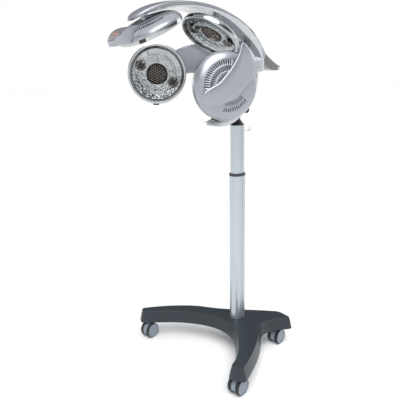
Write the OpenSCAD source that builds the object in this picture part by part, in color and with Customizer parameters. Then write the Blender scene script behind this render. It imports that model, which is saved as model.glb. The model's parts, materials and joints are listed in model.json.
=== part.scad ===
// Free-standing salon air mover: four heated fan heads on curved wings, a telescopic column
// and a three-legged base on twin-wheel casters. Millimetres, +Z up, origin on the floor under
// the column axis, -Y towards the seated client, +X the side with the tilt knob.

/* [Base] */
// Height of the base cover's flat top
base_top = 138; // [132:1:150]
// Height of the base cover's lower edge
base_low = 79; // [78:1:84]
// Wall of the moulded base cover
cover_wall = 4; // [3:0.5:5]
// How far the cover's sides lean out at their lower edge
cover_draft = 13; // [8:1:16]
// Angle between the base's long bar and the wings' plane of symmetry
base_turn = 50; // [40:1:60]

/* [Casters] */
// Caster wheel radius
wheel_r = 37.5; // [35:0.5:38]
// Caster wheel width
wheel_w = 19; // [16:1:20]
// Distance from the swivel axis to the axle
trail = 18; // [14:1:20]

/* [Column] */
// Corner radius of the lower tube's oval section
lower_r = 31; // [30:0.5:33]
// Distance between the two arc centres of both oval tubes
oval_c = 18; // [14:1:22]
// Height of the lower tube's top
lower_top = 860; // [820:5:880]
// Height of the upper tube's top at rest
upper_top = 1095; // [1080:1:1100]
// Length of the upper tube
upper_len = 640; // [600:10:660]

/* [Heads] */
// Outer radius of the bright ring round each head
ring_r = 131; // [129:1:132]
// Depth of the ring
ring_d = 16; // [14:1:18]
// Height of a head from the ring's front face to the crown of its dome
head_h = 54; // [52:1:55]
// Number of fan blades
blades = 7; // [5:1:9]
// Width of the air slots in the domes
slot_w = 3; // [2:0.2:3.6]

/* [Wings] */
// Half of the spine's width
spine_half = 45; // [42:1:48]
// Half of the top wing's greatest width
wing_half = 64; // [58:1:68]
// Wall of the plastic shells
shell_wall = 3; // [2.4:0.2:4]
// Thickness of the two side wings
side_wing_t = 6; // [5:0.5:8]

/* [Hidden] */
HEADS = ["front", "rear", "far", "near"];
HEAD_PARTS = ["back_shell", "ring", "reflector", "fan_grille", "fan", "motor", "lamps", "ring_fixings"];
LEGS = ["left", "front", "right"];
$fn = 64;
fit_gap = 0.3;

// ---------------------------------------------------------------- helpers

function bez(a, b, c, d, n = 10) =
    [for (i = [0:n - 1]) let (t = i / n)
        pow(1 - t, 3) * a + 3 * pow(1 - t, 2) * t * b + 3 * (1 - t) * t * t * c + pow(t, 3) * d];

// A rounded corner from point a round corner c to point b
function corner(a, c, b) = bez(a, a + (c - a) * 0.6, b + (c - b) * 0.6, b, 5);

function unit(v) = v / norm(v);

// Moves every point of a closed counter-clockwise outline outwards by d
function grown(pts, d) =
    [for (i = [0:len(pts) - 1])
        let (n = len(pts),
             u = unit(pts[(i + 1) % n] - pts[i]),
             v = unit(pts[i] - pts[(i + n - 1) % n]),
             m = [u[1] + v[1], -u[0] - v[0]])
        pts[i] + m * (d * 2 / (m * m))];

// A closed band that follows an outline; profile is a list of [outward shift, height]
module band(pts, profile) {
    n = len(pts);
    m = len(profile);
    rings = [for (lv = profile) [for (p = grown(pts, lv[0])) [p[0], p[1], lv[1]]]];
    polyhedron(
        points = [for (r = rings) for (p = r) p],
        faces = [for (k = [0:m - 1]) for (i = [0:n - 1])
            let (j = (i + 1) % n, q = (k + 1) % m) [q * n + i, q * n + j, k * n + j, k * n + i]]);
}

module oval(r, h) {
    for (s = [-1, 1]) translate([0, s * oval_c / 2, 0]) cylinder(r = r, h = h);
    translate([-r, -oval_c / 2, 0]) cube([2 * r, oval_c, h]);
}

// Draws a [y, z] outline as a plate of half-width w along X
module side_plate(pts, w) {
    rotate([90, 0, 90]) translate([0, 0, -w]) linear_extrude(2 * w) polygon(pts);
}

// ---------------------------------------------------------------- base

// The base's plan in its own frame: a long bar along X and a leg towards -Y
base_plan = concat(
    bez([-476, 64], [-372, 66], [-300, 74], [-188, 35]),
    bez([-188, 35], [-105, 5], [-22, -60], [-14, -180]),
    bez([-14, -180], [-8, -290], [-24, -380], [-55, -436], 8),
    corner([-55, -436], [-61, -446], [-50, -452]),
    corner([-20, -468], [-9, -473], [-6, -462]),
    bez([-6, -462], [48, -345], [80, -250], [88, -155]),
    bez([88, -155], [95, -85], [125, -45], [250, -29], 8),
    corner([250, -29], [264, -27], [256, -16]),
    corner([226, 25], [217, 37], [204, 41]),
    bez([204, 41], [80, 70], [-40, 62], [-150, 104], 12),
    bez([-150, 104], [-250, 142], [-380, 132], [-480, 108], 10),
    corner([-480, 108], [-493, 104], [-491, 92]),
    corner([-487, 76], [-485, 64], [-476, 64]));

leg_ends = [[-440, 80], [-18, -420], [208, -4]];
frame_low = 88;
frame_t = 6;
stem_r = 5.5;
socket_top = 116;

module base_cover() {
    shoulder = cover_draft * 0.3;
    crease = base_top - 6;
    color([0.25, 0.29, 0.33])
    rotate([0, 0, base_turn]) {
        band(base_plan, [[cover_draft, base_low], [shoulder, crease - 9], [0, crease],
            [-cover_wall, crease], [shoulder - cover_wall, crease - 10], [cover_draft - cover_wall, base_low]]);
        difference() {
            translate([0, 0, crease]) linear_extrude(base_top - crease) polygon(base_plan);
            rotate([0, 0, -base_turn]) translate([0, 0, base_low]) oval(lower_r + 0.5, 80);
        }
    }
}

module base_frame() {
    color([0.55, 0.57, 0.6])
    rotate([0, 0, base_turn])
    difference() {
        union() {
            translate([0, 0, frame_low]) linear_extrude(frame_t) polygon(grown(base_plan, 3));
            for (p = leg_ends) translate([p[0], p[1], frame_low]) cylinder(r = 12, h = socket_top - frame_low);
            rotate([0, 0, -base_turn]) translate([0, 0, frame_low]) oval(lower_r - 3.6, 60);
        }
        for (p = leg_ends) translate([p[0], p[1], frame_low - 1])
            cylinder(r = stem_r + 0.06, h = socket_top - frame_low - 2);
        rotate([0, 0, -base_turn]) translate([0, 0, frame_low + frame_t]) oval(lower_r - 9, 60);
    }
}

// ---------------------------------------------------------------- casters

// Each caster is drawn round its swivel axis with the axle along X, behind the axis by the trail
hood_r = 34;
hood_half = 10.5;
axle_r = 4;
caster_turn = 138;

module at_leg(i) {
    rotate([0, 0, base_turn]) translate([leg_ends[i][0], leg_ends[i][1], 0])
        rotate([0, 0, caster_turn]) children();
}

module caster_fork() {
    color([0.6, 0.64, 0.68])
    difference() {
        union() {
            intersection() {
                translate([-hood_half, trail, wheel_r]) rotate([0, 90, 0]) cylinder(r = hood_r, h = 2 * hood_half);
                translate([-20, trail - 60, 12]) cube([40, 120, 80]);
            }
            cylinder(r = hood_half, h = frame_low - 1.5);
            translate([-hood_half, 0, 50]) cube([2 * hood_half, trail, 26]);
        }
        translate([-20, trail, wheel_r]) rotate([0, 90, 0]) cylinder(r = axle_r, h = 40);
        translate([0, 0, 58]) cylinder(r = stem_r, h = 40);
        translate([-30, trail - 60, -1]) cube([60, 120, 23]);
    }
    color([0.75, 0.76, 0.78]) {
        translate([-hood_half - wheel_w + 3, trail, wheel_r]) rotate([0, 90, 0])
            cylinder(r = axle_r, h = 2 * (hood_half + wheel_w - 3));
        translate([0, 0, 58]) cylinder(r = stem_r, h = 54);
    }
}

module caster_wheel(side) {
    translate([side * (hood_half + 0.5), trail, wheel_r]) rotate([0, side * 90, 0]) {
        color([0.1, 0.11, 0.12]) rotate_extrude() polygon([
            [wheel_r - 7, 0], [wheel_r - 1.5, 0], [wheel_r, 2], [wheel_r, wheel_w - 3],
            [wheel_r - 2.5, wheel_w], [wheel_r - 7, wheel_w]]);
        color([0.6, 0.64, 0.68]) rotate_extrude() polygon([
            [axle_r + 0.06, 0], [wheel_r - 7, 0], [wheel_r - 7, wheel_w - 1],
            [wheel_r - 11, wheel_w - 1], [14, wheel_w - 2.5], [0, wheel_w - 1.5],
            [0, wheel_w - 2.9], [axle_r + 0.06, wheel_w - 2.9]]);
    }
}

// ---------------------------------------------------------------- column

groove_w = 8;
groove_d = 1.9;
tube_wall = 3.4;
upper_r = lower_r - 5;
collar_h = 12;

module groove(r, z0, h) {
    for (s = [-1, 1]) translate([s * r - groove_d, -groove_w / 2, z0]) cube([2 * groove_d, groove_w, h]);
}

module lower_tube() {
    color([0.72, 0.75, 0.78])
    difference() {
        translate([0, 0, frame_low + frame_t]) oval(lower_r, lower_top - frame_low - frame_t);
        translate([0, 0, frame_low]) oval(lower_r - tube_wall, lower_top);
        groove(lower_r, frame_low, lower_top);
    }
}

module column_collar() {
    color([0.28, 0.3, 0.32])
    difference() {
        union() {
            translate([0, 0, lower_top]) oval(lower_r + 0.8, collar_h);
            translate([0, 0, lower_top - 70]) oval(lower_r - tube_wall - 0.1, 71);
        }
        translate([0, 0, lower_top - 80]) oval(upper_r + 0.35, 120);
    }
}

module upper_tube() {
    color([0.72, 0.75, 0.78])
    difference() {
        translate([0, 0, upper_top - upper_len]) oval(upper_r, upper_len);
        translate([0, 0, upper_top - upper_len - 1]) oval(upper_r - tube_wall, upper_len + 2);
        groove(upper_r, upper_top - upper_len - 1, upper_len + 2);
    }
}

// A bent bar on the back of the upper tube, for the mains lead and client's towel
hook_y = upper_r + oval_c / 2;

module accessory_hook() {
    z = upper_top - 33;
    color([0.85, 0.86, 0.88])
    difference() {
        side_plate([[hook_y - 2, z - 12], [hook_y + 3, z - 12], [hook_y + 3, z], [hook_y + 44, z],
            [hook_y + 49, z + 5], [hook_y + 49, z + 24], [hook_y + 45, z + 24], [hook_y + 45, z + 8],
            [hook_y + 41, z + 4], [hook_y + 3, z + 4], [hook_y + 3, z + 28], [hook_y - 2, z + 28]], 5);
        translate([0, 0, z - 20]) oval(upper_r + 0.02, 60);
    }
}

// ---------------------------------------------------------------- tilt joint

tilt_z = 1166;
lug_half = 7;
tilt_pin_r = 5;

module tilt_socket() {
    color([0.12, 0.12, 0.13])
    difference() {
        union() {
            translate([0, 0, upper_top + fit_gap]) cylinder(r1 = 33, r2 = 15, h = 23);
            translate([0, 0, upper_top - 40]) cylinder(r = 16, h = 45);
            translate([-lug_half, -12, upper_top + 15]) cube([2 * lug_half, 24, tilt_z - upper_top - 15]);
            translate([-lug_half, 0, tilt_z]) rotate([0, 90, 0]) cylinder(r = 12, h = 2 * lug_half);
        }
        translate([-20, 0, tilt_z]) rotate([0, 90, 0]) cylinder(r = tilt_pin_r + 0.05, h = 40);
    }
}

// The swivel bearing that the spigot turns in is part of the upper tube's top
module swivel_bush() {
    color([0.2, 0.21, 0.22])
    difference() {
        translate([0, 0, upper_top - 38]) oval(upper_r - tube_wall, 38);
        translate([0, 0, upper_top - 39]) cylinder(r = 16.06, h = 50);
    }
}

module tilt_knob() {
    color([0.1, 0.1, 0.11])
    translate([spine_half + 1, 0, tilt_z]) rotate([0, 90, 0]) difference() {
        union() {
            cylinder(r = 13, h = 16);
            for (k = [0:5]) rotate([0, 0, k * 60]) translate([11.5, 0, 0]) cylinder(r = 3, h = 16);
        }
        translate([0, 0, -1]) cylinder(r = tilt_pin_r + 0.05, h = 12);
    }
}

// ---------------------------------------------------------------- spine

spine_out = concat(
    bez([9, 1462], [60, 1432], [98, 1385], [98, 1320]),
    bez([98, 1320], [98, 1235], [40, 1165], [-27, 1126]),
    bez([-27, 1126], [-75, 1096], [-140, 1090], [-186, 1106]),
    [[-190, 1108]]);
spine_in = concat(
    bez([-188, 1113], [-140, 1108], [-70, 1130], [-16, 1172]),
    bez([-16, 1172], [30, 1208], [60, 1250], [60, 1320]),
    bez([60, 1320], [60, 1380], [30, 1420], [-16, 1444]),
    [[-16, 1444]]);
spine_side = concat([for (i = [len(spine_out) - 1:-1:0]) spine_out[i]],
                    [for (i = [len(spine_in) - 1:-1:0]) spine_in[i]]);
// Hinge axes of the side wings, [x, y] with the sign of the side
hinge_x = 54.5;
hinge_y = 52;
hinge_z = 1322;
hinge_h = 66;
cover_t = 3;

module spine_cavity() {
    // The channel that the inner cover closes, open towards the client
    intersection() {
        side_plate(grown(spine_side, -shell_wall - 1), spine_half - shell_wall);
        translate([-60, -100, 1140]) cube([120, 300, 290]);
    }
    intersection() {
        translate([0, -9, 0]) side_plate(grown(spine_side, -shell_wall - 1), spine_half - shell_wall);
        translate([-60, -30, 1192]) cube([120, 130, 210]);
    }
}

module rear_body() {
    color([0.74, 0.76, 0.79]) {
        difference() {
            union() {
                difference() {
                    side_plate(spine_side, spine_half);
                    spine_cavity();
                }
                // Bosses for the tilt pin
                for (s = [-1, 1]) translate([s * 26, 0, tilt_z]) rotate([0, 90, 0])
                    cylinder(r = 9.5, h = 35, center = true);
                // Saddle that carries the top wing
                difference() {
                    side_plate([[43, 1434], [71, 1402], [85, 1378], [112, 1392], [70, 1452]], 24);
                    side_plate(wing_side, 60);
                }
                // Hinge lugs of the side wings, above and below each wing's barrel
                for (s = [-1, 1]) for (z = [hinge_z - 9.5, hinge_z + hinge_h + 0.5])
                    translate([s * (spine_half + 2), hinge_y, z]) lug(s);
            }
            translate([-60, 0, tilt_z]) rotate([0, 90, 0]) cylinder(r = tilt_pin_r, h = 120);
            // Slot for the lug of the tilt socket
            translate([-lug_half - 1.5, -46, 1090]) cube([2 * lug_half + 3, 92, 92]);
            for (s = [-1, 1]) translate([s * hinge_x, hinge_y, hinge_z - 20])
                cylinder(r = 4, h = hinge_h + 40);
        }
    }
}

module lug(s) {
    translate([s * (hinge_x - spine_half - 2), 0, 0]) cylinder(r = 8.5, h = 9);
    translate([s > 0 ? -4 : -8, -4, 0]) cube([12, 14, 9]);
}

module inner_cover() {
    color([0.62, 0.66, 0.66])
    intersection() {
        difference() {
            side_plate(grown(spine_side, -0.4), spine_half - shell_wall - 0.4);
            translate([0, cover_t, 0]) side_plate(grown(spine_side, -0.4), 60);
        }
        translate([-60, -30, 1196]) cube([120, 130, 202]);
    }
}

module hinge_pins() {
    color([0.7, 0.71, 0.73]) {
        translate([-spine_half, 0, tilt_z]) rotate([0, 90, 0])
            cylinder(r = tilt_pin_r, h = 2 * spine_half + 11);
        for (s = [-1, 1]) translate([s * hinge_x, hinge_y, hinge_z - 9.5]) cylinder(r = 4, h = hinge_h + 19);
    }
}

// ---------------------------------------------------------------- top wing

wing_low = concat(
    bez([-552, 1519], [-503, 1551], [-400, 1577], [-300, 1578]),
    bez([-300, 1578], [-180, 1578], [-90, 1545], [0, 1482]),
    bez([0, 1482], [60, 1450], [100, 1410], [112, 1375]),
    bez([112, 1375], [150, 1340], [230, 1325], [284, 1343]));
wing_top = concat(
    bez([290, 1352], [220, 1385], [155, 1405], [139, 1423]),
    bez([139, 1423], [30, 1555], [-150, 1605], [-300, 1605], 16),
    bez([-300, 1605], [-400, 1605], [-505, 1585], [-556, 1526]));
wing_side = concat(wing_low, wing_top);
wing_shut = concat(
    bez([-560, 1521], [-505, 1556], [-400, 1584], [-300, 1586]),
    bez([-300, 1586], [-180, 1586], [-60, 1560], [40, 1502], 12),
    [[100, 1455], [122, 1380], [330, 1330], [330, 1200], [-600, 1200]]);
wing_plan_half = concat(
    bez([0, -556], [40, -556], [wing_half - 6, -510], [wing_half - 2, -430]),
    bez([wing_half - 2, -430], [wing_half + 2, -250], [wing_half, -60], [48, 100]),
    bez([48, 100], [40, 160], [14, 250], [3, 290]),
    [[0, 290]]);

module wing_plan(d) {
    for (s = [0, 1]) mirror([s, 0, 0]) translate([0, 0, 1250]) linear_extrude(400)
        polygon([for (p = wing_plan_half) [max(p[0] - d, 0), p[1] + (p[1] < -500 ? d : -d)]]);
}

module wing_solid() {
    intersection() {
        side_plate(wing_side, wing_half + 4);
        wing_plan(0);
    }
}

module wing_cavity() {
    intersection() {
        side_plate(grown(wing_side, -shell_wall), wing_half);
        wing_plan(shell_wall);
        translate([-80, -560, 1300]) cube([160, 700, 320]);
    }
}

module top_wing() {
    color([0.74, 0.76, 0.79])
    difference() {
        wing_solid();
        wing_cavity();
        side_plate(wing_shut, 90);
    }
}

ear_half = 13.5;
ear_t = 5;
head_pin_r = 4;

module wing_liner() {
    color([0.82, 0.84, 0.86]) {
        difference() {
            union() {
                difference() {
                    intersection() {
                        wing_solid();
                        translate([0, 0, -0.5]) side_plate(wing_shut, 90);
                    }
                    wing_cavity();
                }
                for (i = [0, 1]) for (s = [-1, 1])
                    translate(pivot(i) + [s * (ear_half + ear_t / 2), 0, 0]) ear(20 + 6 * i);
            }
            for (i = [0, 1]) translate(pivot(i) - [ear_half, 26, 30]) cube([2 * ear_half, 52, 60]);
        }
        for (i = [0, 1]) translate(pivot(i) - [ear_half + 1, 0, 0]) rotate([0, 90, 0])
            cylinder(r = head_pin_r, h = 2 * ear_half + 2);
    }
}

module ear(h) {
    rotate([0, 90, 0]) cylinder(r = 7, h = ear_t, center = true);
    translate([-ear_t / 2, -7, 0]) cube([ear_t, 14, h]);
}

// ---------------------------------------------------------------- side wings

near_path = bez([62, 52], [165, -30], [400, -132], [256, -430], 24);
near_outline = concat(
    bez([-160, 1240], [-160, 1275], [-118, 1272], [-92, 1300], 8),
    bez([-92, 1300], [-62, 1334], [-22, 1372], [-14, 1437], 8),
    bez([-14, 1437], [6, 1424], [24, 1404], [34, 1383], 5),
    [[34, 1383], [140, 1383], [140, 1330], [47, 1330]],
    bez([46, 1316], [20, 1296], [-20, 1240], [-60, 1225], 8),
    bez([-60, 1225], [-100, 1206], [-160, 1200], [-160, 1240], 8));

// A vertical sheet of thickness t that follows a plan path
module path_sheet(path, t, z0, h) {
    n = len(path);
    side = [for (i = [0:n - 1]) let (u = unit(path[min(i + 1, n - 1)] - path[max(i - 1, 0)])) [-u[1], u[0]]];
    translate([0, 0, z0]) linear_extrude(h)
        polygon(concat([for (i = [0:n - 1]) path[i] + side[i] * t / 2],
                       [for (i = [n - 1:-1:0]) path[i] - side[i] * t / 2]));
}

// The barrel that turns on a hinge pin of the spine
module wing_barrel(s) {
    difference() {
        union() {
            translate([s * hinge_x, hinge_y, hinge_z]) cylinder(r = 8.5, h = hinge_h);
            translate([s * (hinge_x + 6) - 4, hinge_y - 5, hinge_z]) cube([10, 14, hinge_h]);
        }
        translate([s * hinge_x, hinge_y, hinge_z - 1]) cylinder(r = 4.05, h = hinge_h + 2);
    }
}

// Ears and post of a side head: p is the swivel axis, a the direction from it to the wing
side_ear_h = 5;
side_gap = 12.5;

module side_ears(p, a, reach) {
    for (z = [-side_gap - side_ear_h, side_gap]) translate([p[0], p[1], p[2] + z]) rotate([0, 0, a]) {
        cylinder(r = 8, h = side_ear_h);
        translate([0, -8, 0]) cube([reach, 16, side_ear_h]);
    }
    translate([p[0], p[1], p[2] - side_gap - 1]) cylinder(r = head_pin_r, h = 2 * side_gap + 2);
}

module near_wing() {
    color([0.74, 0.76, 0.79]) {
        difference() {
            intersection() {
                path_sheet(near_path, side_wing_t, 1190, 280);
                rotate([0, 0, base_turn]) translate([0, 600, 0]) rotate([90, 0, 0])
                    linear_extrude(1200) polygon(near_outline);
            }
            translate([hinge_x, hinge_y, hinge_z - 60]) cylinder(r = 9.1, h = 300);
        }
        wing_barrel(1);
        side_ears(pivot(3), -20, 20);
    }
}

far_root = [-62, 54];
far_dir = unit([-219.9, -294.5]);
far_outline = concat(
    [[0, 1325], [0, 1385]],
    bez([30, 1420], [80, 1470], [160, 1476], [250, 1446], 8),
    bez([250, 1446], [320, 1420], [360, 1340], [400, 1320], 8),
    bez([400, 1320], [450, 1312], [450, 1262], [400, 1262], 8),
    bez([400, 1262], [340, 1262], [300, 1330], [200, 1330], 8));

module far_wing() {
    color([0.74, 0.76, 0.79]) {
        difference() {
            translate([far_root[0], far_root[1], 0])
                rotate([0, 0, atan2(far_dir[1], far_dir[0])]) translate([0, side_wing_t / 2, 0])
                rotate([90, 0, 0]) linear_extrude(side_wing_t) polygon(far_outline);
            translate([-hinge_x, hinge_y, hinge_z - 60]) cylinder(r = 9.1, h = 300);
        }
        wing_barrel(-1);
        side_ears(pivot(2), 144.9, 11);
    }
}

// ---------------------------------------------------------------- heads

// Centre of each head's front plane, and the way its dome faces as [tilt from +Z, turn about Z]
head_at = [[0, -461.2, 1483.5], [0, -164, 1471], [-218, -285, 1328], [218, -285, 1278]];
head_dir = [[27.5, -90], [36, 90], [90, 144.9], [90, -20]];
hub_top = 2.5;
// How far behind its front plane each head's pivot lies
reach = [head_h + 10, head_h + 10, head_h + 11, head_h + 11];
function pivot(i) = let (t = head_dir[i])
    head_at[i] + reach[i] * [sin(t[0]) * cos(t[1]), sin(t[0]) * sin(t[1]), cos(t[0])];
// How far the lamps, the air slots and the ring's clip are turned about each head's axis
lamp_turn = [28, -50, 118, 62];
slot_turn = [-85, 90, 90, 90];
clip_turn = [38, 180, 4, -19];
bezel_r = 112;
dome_r = ring_r - 2.8;
skirt_z = 7;
hub_r = 40;
grille_r = 46;
lamp_r = 79;
tube_r = 5;

module at_head(i) {
    translate(head_at[i]) rotate([0, 0, head_dir[i][1]]) rotate([0, head_dir[i][0], 0]) children();
}

function dome_points(r, z0, h, n = 12) =
    let (a1 = acos(hub_r / r)) [for (k = [0:n]) let (a = a1 * k / n) [r * cos(a), z0 + h * sin(a)]];

module dome_profile(shrink) {
    h = (head_h - ring_d - shrink) / sin(acos(hub_r / dome_r));
    polygon(concat([[0, skirt_z], [dome_r - shrink, skirt_z]], dome_points(dome_r - shrink, ring_d, h),
        [[hub_r - 5, head_h - hub_top - shrink], [0, head_h - hub_top - shrink]]));
}

// Radial air slots: two rows over two sectors of the dome
module slots(i) {
    for (sector = [[84, 182, 18], [258, 322, 12]]) for (k = [0:sector[2] - 1])
        rotate([0, 0, slot_turn[i] + sector[0] + (sector[1] - sector[0]) * k / (sector[2] - 1)])
            for (row = [[56, 17], [79, 17]])
                translate([row[0], -slot_w / 2, ring_d + 8]) cube([row[1], slot_w, head_h]);
}

module back_shell(i) {
    color([0.76, 0.78, 0.81])
    at_head(i) {
        difference() {
            union() {
                difference() {
                    rotate_extrude() dome_profile(0);
                    rotate_extrude() dome_profile(2.6);
                    translate([0, 0, skirt_z - 1]) cylinder(r = dome_r - 2.6, h = 2);
                    slots(i);
                }
                head_neck(i);
            }
            head_bore(i);
        }
    }
}

// The neck and barrel on the dome's crown, along the pivot axis of each head
module head_neck(i) {
    barrel_h = i < 2 ? 2 * ear_half - 1 : 2 * side_gap - 1;
    rotate([0, 0, i < 2 ? 0 : 90]) {
        translate([0, 0, reach[i]]) rotate([90, 0, 0]) cylinder(r = 8, h = barrel_h, center = true);
        translate([-7, -barrel_h / 2, head_h - hub_top - 1]) cube([14, barrel_h, reach[i] - head_h + hub_top]);
    }
}

module head_bore(i) {
    rotate([0, 0, i < 2 ? 0 : 90]) translate([0, 0, reach[i]]) rotate([90, 0, 0])
        cylinder(r = head_pin_r + 0.05, h = 60, center = true);
}

module ring(i) {
    color([0.88, 0.89, 0.9])
    at_head(i) rotate_extrude() polygon([[bezel_r, 9], [bezel_r + 0.6, 3.2], [bezel_r + 8.4, 3.2],
        [ring_r - 9, 0.6], [ring_r - 4, 0], [ring_r, 4], [ring_r, ring_d], [ring_r - 2.4, ring_d],
        [ring_r - 2.4, 5.6], [ring_r - 4.6, 2.6], [ring_r - 8.4, 3.2], [bezel_r + 9, 5.4],
        [bezel_r + 2.6, 5.4], [bezel_r + 2, 9]]);
}

function dish(r0, z0, r1, z1, n = 8) =
    [for (k = [0:n]) let (t = k / n) [r0 + (r1 - r0) * t, z0 + (z1 - z0) * sin(90 * t)]];

module reflector(i) {
    color([0.8, 0.82, 0.83])
    at_head(i) difference() {
        rotate_extrude() polygon(concat(dish(bezel_r - 0.3, 9, grille_r + 1, 19),
            [for (k = [8:-1:0]) let (p = dish(bezel_r - 0.3, 10.2, grille_r + 1, 20.4)[k]) p]));
        for (s = [0, 180]) rotate([0, 0, s + lamp_turn[i]]) translate([lamp_r - 12, -14, 1]) cube([24, 28, 30]);
    }
}

// Honeycomb guard in front of the fan
module fan_grille(i) {
    pitch = 11;
    cell = 5.4;
    color([0.13, 0.13, 0.14])
    at_head(i) difference() {
        translate([0, 0, 18.6]) cylinder(r = grille_r, h = 2);
        translate([0, 0, 18]) linear_extrude(4)
            for (q = [-4:4]) for (w = [-4:4])
                let (x = pitch * (q + w / 2), y = pitch * w * sqrt(3) / 2)
                if (norm([x, y]) < grille_r - cell - 1.5)
                    translate([x, y]) rotate(30) circle(r = cell, $fn = 6);
    }
}

module fan(i) {
    color([0.2, 0.2, 0.22])
    at_head(i) {
        difference() {
            translate([0, 0, 23]) cylinder(r = 14, h = 10);
            translate([0, 0, 22]) cylinder(r = 2.5, h = 20);
        }
        for (k = [0:blades - 1]) rotate([0, 0, k * 360 / blades]) translate([28, 0, 28])
            rotate([28, 0, 0]) cube([30, 15, 1.4], center = true);
        color([0.75, 0.76, 0.78]) translate([0, 0, 24]) cylinder(r = 2.5, h = 16);
    }
}

// Motor can with a three-armed bracket that is screwed inside the dome
module motor(i) {
    color([0.35, 0.36, 0.38])
    at_head(i) difference() {
        union() {
            translate([0, 0, 35]) cylinder(r = 20, h = 13);
            for (k = [0:2]) rotate([0, 0, 30 + k * 120]) {
                translate([15, -5, 35]) cube([82, 10, 2]);
                translate([94, -5, 20]) cube([3, 10, 17]);
                translate([94, -5, 20]) cube([dome_r - 100.5, 10, 2]);
            }
        }
        translate([0, 0, 34]) cylinder(r = 2.55, h = 7);
    }
}

// Two half-ring quartz heaters between two ceramic blocks
module lamps(i) {
    at_head(i) {
        color([0.9, 0.86, 0.8, 0.6])
        for (s = [0, 180]) rotate([0, 0, s + lamp_turn[i] + 9.5]) rotate_extrude(angle = 161)
            translate([lamp_r, 7]) circle(r = tube_r, $fn = 24);
        color([0.15, 0.15, 0.16])
        for (s = [0, 180]) rotate([0, 0, s + lamp_turn[i]]) translate([lamp_r - 11, -13, 1.2])
            cube([22, 26, 21]);
    }
}

module ring_fixings(i) {
    at_head(i) {
        color([0.12, 0.12, 0.13]) rotate([0, 0, clip_turn[i]]) intersection() {
            difference() {
                translate([0, 0, 1]) cylinder(r = ring_r + 5, h = ring_d - 3);
                cylinder(r = ring_r + 0.05, h = 40);
            }
            translate([100, -13, 0]) cube([60, 26, 40]);
        }
        color([0.4, 0.4, 0.42]) for (k = [0:2]) rotate([0, 0, 60 + k * 120])
            translate([bezel_r + 4.5, 0, 1.2]) cylinder(r = 2.6, h = 2);
    }
}

// ---------------------------------------------------------------- control nose

// Drawn in the front head's frame: [forward, up], where the head's own +X points forward
nose_side = concat(
    bez([62, 40], [58, 46], [60, 50], [66, 54], 4),
    bez([66, 54], [90, 66], [122, 70], [150, 59], 8),
    bez([150, 59], [168, 52], [178, 46], [182, 40], 5),
    bez([182, 40], [187, 34], [184, 28], [176, 27], 5),
    bez([176, 27], [160, 24], [150, 20], [136, 19], 5),
    [[136, 14], [110, 14], [110, 30]]);
nose_half = 46;

module nose_plan(d) {
    translate([0, 0, 5]) linear_extrude(80) polygon(concat(
        [[55, -nose_half + d + 4], [110, -nose_half + d]],
        bez([110, -nose_half + d], [160, -nose_half + d], [184 - d, -34], [186 - d, 0], 8),
        bez([186 - d, 0], [184 - d, 34], [160, nose_half - d], [110, nose_half - d], 8),
        [[110, nose_half - d], [55, nose_half - d - 4]]));
}

module nose_block(d) {
    intersection() {
        rotate([90, 0, 0]) linear_extrude(2 * nose_half + 4, center = true)
            polygon(grown([for (k = [len(nose_side) - 1:-1:0]) nose_side[k]], -d));
        nose_plan(d);
    }
}

module control_nose() {
    color([0.76, 0.78, 0.81])
    at_head(0) difference() {
        nose_block(0);
        difference() {
            nose_block(3);
            translate([142, -60, 20]) cube([60, 120, 10]);
        }
        translate([0, 0, -5]) cylinder(r = ring_r + 0.6, h = ring_d + 5.6);
        translate([0, 0, 0.6]) rotate_extrude() dome_profile(-0.4);
        display_cut(0.15);
        for (s = [-1, 1]) key_cut(s, 0.4);
    }
}

// The display and the keys sit in the nose's sloping top
slope = 27;

module display_cut(g) {
    translate([167, 0, 49]) rotate([0, slope, 0])
        cube([14 + 2 * g, 40 + 2 * g, 14], center = true);
}

module key_cut(s, g) {
    translate([146, s * 10, 60]) rotate([0, slope - 7, 0])
        cube([9 + 2 * g, 13 + 2 * g, 20], center = true);
}

module display_window() {
    color([0.08, 0.08, 0.09])
    at_head(0) intersection() {
        display_cut(0);
        nose_block(0.6);
        translate([168, 0, 51]) rotate([0, slope, 0]) cube([40, 60, 8], center = true);
    }
}

module key(s) {
    color([0.85, 0.45, 0.2])
    at_head(0) intersection() {
        key_cut(s, 0);
        translate([146, s * 10, 59]) rotate([0, slope - 7, 0]) cube([20, 30, 9], center = true);
    }
}

// ---------------------------------------------------------------- assembly

base_cover();
base_frame();
lower_tube();
column_collar();
union() {
    upper_tube();
    swivel_bush();
}
accessory_hook();
tilt_socket();
tilt_knob();
hinge_pins();
rear_body();
inner_cover();
top_wing();
wing_liner();
near_wing();
far_wing();
control_nose();
display_window();
key(1);  // plus_key
key(-1);  // minus_key

for (i = [0:2]) {
    at_leg(i) caster_fork();
    at_leg(i) caster_wheel(1);
    at_leg(i) caster_wheel(-1);
}

for (i = [0:3]) {
    back_shell(i);
    ring(i);
    reflector(i);
    fan_grille(i);
    fan(i);
    motor(i);
    lamps(i);
    ring_fixings(i);
}
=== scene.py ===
import json
import math

import bmesh
import bpy
import numpy as np
from mathutils import Matrix, Vector


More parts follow.
